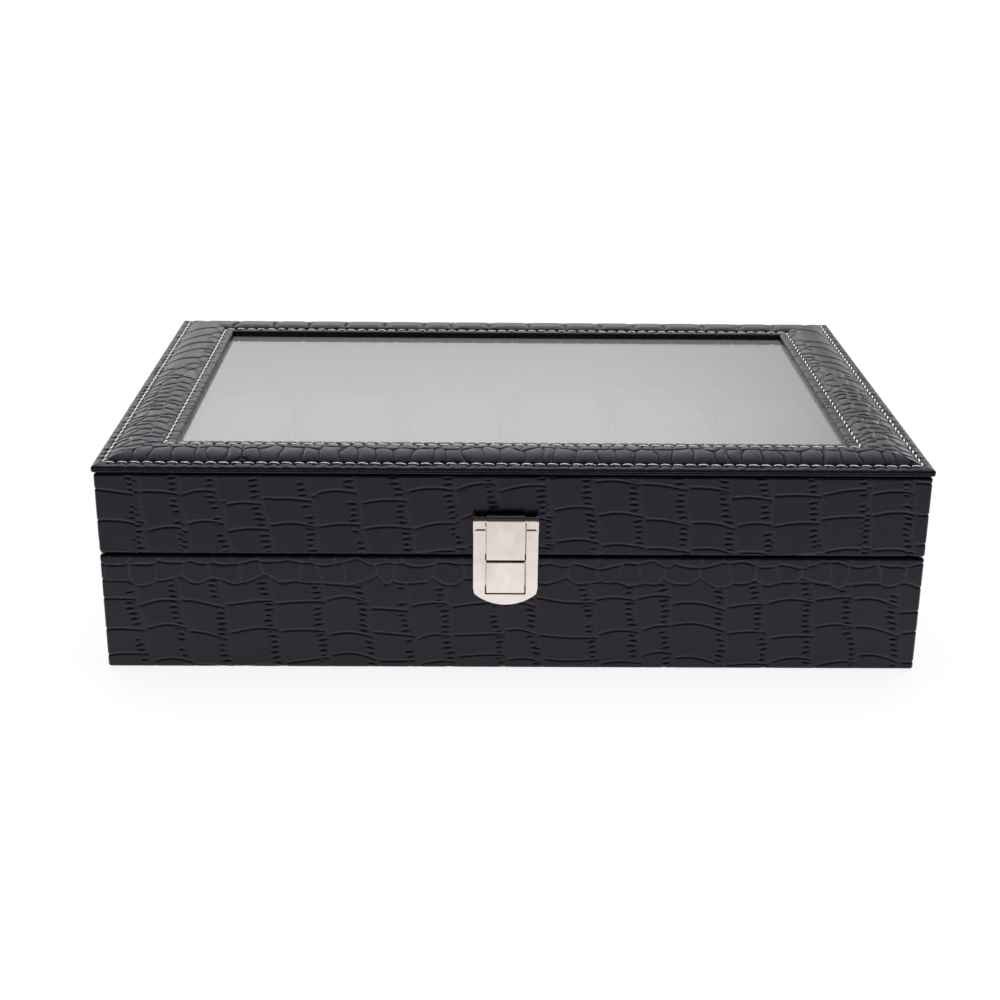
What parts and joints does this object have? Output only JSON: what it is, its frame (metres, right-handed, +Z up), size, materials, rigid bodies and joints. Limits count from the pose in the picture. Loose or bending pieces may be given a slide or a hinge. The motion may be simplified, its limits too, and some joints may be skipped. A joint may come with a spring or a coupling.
{
  "type": "watch box",
  "caption": "Leather-covered watch display box with a glazed, padded and stitched lid on stop hinges, a flip-up front latch and velvet-lined slots with pillows.",
  "frame": {"origin": "middle of the underside, on the surface the box stands on", "axes": "+X to the right along the front, +Y from the latch to the hinges, +Z up"},
  "size_m": [0.3016, 0.2108, 0.0815],
  "materials": {
    "embossed_leather": "black faux leather, embossed with a reptile grain, satin gloss",
    "fibreboard": "raw medium-density fibreboard, hidden under leather and velvet",
    "felt": "black flocked sheet",
    "velvet": "beige-grey short-pile velvet",
    "pillow_velvet": "beige-grey velvet over foam",
    "window_glass": "clear float glass",
    "nickel": "bright nickel plate",
    "stitch_thread": "light grey sewing thread"
  },
  "bodies": {
    "base": {"base_wrap": "embossed_leather", "bottom_felt": "felt", "bottom_panel": "fibreboard", "base_front_wall": "fibreboard", "base_back_wall": "fibreboard", "base_left_wall": "fibreboard", "base_right_wall": "fibreboard", "base_front_lining": "velvet", "base_back_lining": "velvet", "base_left_lining": "velvet", "base_right_lining": "velvet", "floor_cushion": "velvet", "long_divider": "velvet", "cross_divider_1": "velvet", "cross_divider_2": "velvet", "cross_divider_3": "velvet", "cross_divider_4": "velvet", "cross_divider_5": "velvet", "watch_pillow_01": "pillow_velvet", "watch_pillow_02": "pillow_velvet", "watch_pillow_03": "pillow_velvet", "watch_pillow_04": "pillow_velvet", "watch_pillow_05": "pillow_velvet", "watch_pillow_06": "pillow_velvet", "watch_pillow_07": "pillow_velvet", "watch_pillow_08": "pillow_velvet", "watch_pillow_09": "pillow_velvet", "watch_pillow_10": "pillow_velvet", "watch_pillow_11": "pillow_velvet", "watch_pillow_12": "pillow_velvet", "left_hinge_base_leaf": "nickel", "right_hinge_base_leaf": "nickel", "left_hinge_pin": "nickel", "right_hinge_pin": "nickel", "hinge_base_screws": "nickel", "latch_keeper": "nickel", "latch_keeper_nails": "nickel"},
    "lid": {"lid_wrap": "embossed_leather", "lid_front_wall": "fibreboard", "lid_back_wall": "fibreboard", "lid_left_wall": "fibreboard", "lid_right_wall": "fibreboard", "lid_frame_panel": "fibreboard", "lid_padded_cover": "embossed_leather", "glass_pane": "window_glass", "glass_retainer": "velvet", "lid_front_lining": "velvet", "lid_back_lining": "velvet", "lid_left_lining": "velvet", "lid_right_lining": "velvet", "left_hinge_lid_leaf": "nickel", "right_hinge_lid_leaf": "nickel", "hinge_lid_screws": "nickel", "latch_lid_plate": "nickel", "latch_lid_nails": "nickel"},
    "flap": {"latch_flap": "nickel", "latch_pin": "nickel"}
  },
  "joints": [
    {"name": "lid_hinge", "type": "hinge", "parent": "base", "child": "lid", "pos_m": [0, 0.102, 0.04525], "axis": [-1, 0, 0], "range_deg": [0, 100]},
    {"name": "latch_pivot", "type": "hinge", "parent": "lid", "child": "flap", "pos_m": [-0.003, -0.1027, 0.06025], "axis": [-1, 0, 0], "range_deg": [0, 110]}
  ]
}
